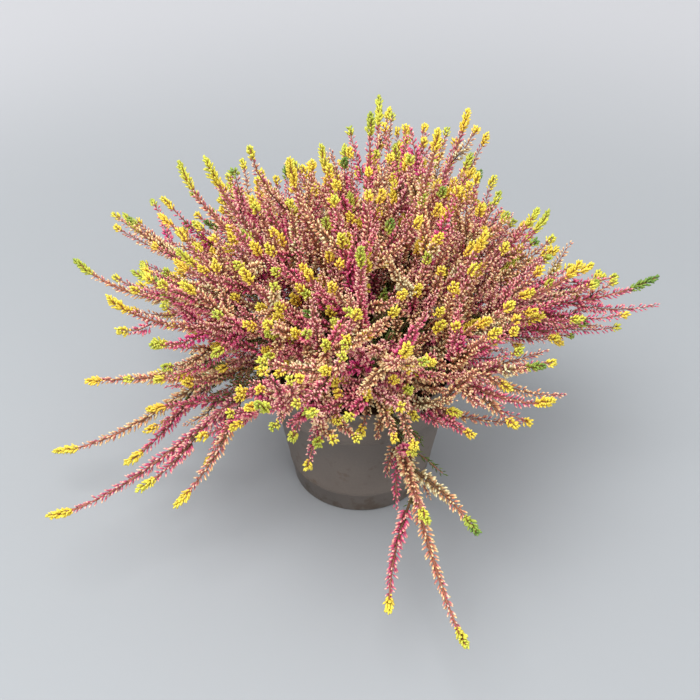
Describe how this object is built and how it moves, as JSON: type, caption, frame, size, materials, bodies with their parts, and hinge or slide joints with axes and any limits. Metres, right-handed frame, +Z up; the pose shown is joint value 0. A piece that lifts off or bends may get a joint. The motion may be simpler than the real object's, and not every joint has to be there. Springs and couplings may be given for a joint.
{
  "type": "potted heather",
  "caption": "Bushy bud-flowering heather with radiating pink bud spikes and yellow leafy tips, in a round tapered plastic grower's pot.",
  "frame": {"origin": "centre of the pot's flat underside, on the surface that it stands on", "axes": "+Z up along the pot's axis; -Y is the side that faces the viewer in the picture; -X is the viewer's left"},
  "size_m": [0.3667, 0.3564, 0.2445],
  "materials": {
    "pot_plastic": "matte moulded",
    "peat": "rough, crumbly",
    "bud_spray": "matte buds and leaves",
    "young_tip": "matte leaves"
  },
  "bodies": {
    "root": {"pot": "pot_plastic", "soil": "peat", "spray_01": "bud_spray", "spray_02": "bud_spray", "spray_03": "bud_spray", "spray_04": "bud_spray", "spray_05": "bud_spray", "spray_06": "bud_spray", "spray_07": "bud_spray", "spray_08": "bud_spray", "spray_09": "bud_spray", "spray_10": "bud_spray", "spray_11": "bud_spray", "spray_12": "bud_spray", "spray_13": "bud_spray", "spray_14": "bud_spray", "spray_15": "bud_spray", "spray_16": "bud_spray", "spray_17": "bud_spray", "spray_18": "bud_spray", "spray_19": "bud_spray", "spray_20": "bud_spray", "spray_21": "bud_spray", "spray_22": "bud_spray", "spray_23": "bud_spray", "spray_24": "bud_spray", "spray_25": "bud_spray", "spray_26": "bud_spray", "spray_27": "bud_spray", "spray_28": "bud_spray", "tip_01": "young_tip", "tip_02": "young_tip", "tip_03": "young_tip", "tip_04": "young_tip", "tip_05": "young_tip", "tip_06": "young_tip", "tip_07": "young_tip", "tip_08": "young_tip", "tip_09": "young_tip", "tip_10": "young_tip", "tip_11": "young_tip", "tip_12": "young_tip", "tip_13": "young_tip", "tip_14": "young_tip", "tip_15": "young_tip", "tip_16": "young_tip", "tip_17": "young_tip", "tip_18": "young_tip", "tip_19": "young_tip", "tip_20": "young_tip", "tip_21": "young_tip", "tip_22": "young_tip", "tip_23": "young_tip", "tip_24": "young_tip", "tip_25": "young_tip", "tip_26": "young_tip", "tip_27": "young_tip", "tip_28": "young_tip"}
  },
  "joints": []
}
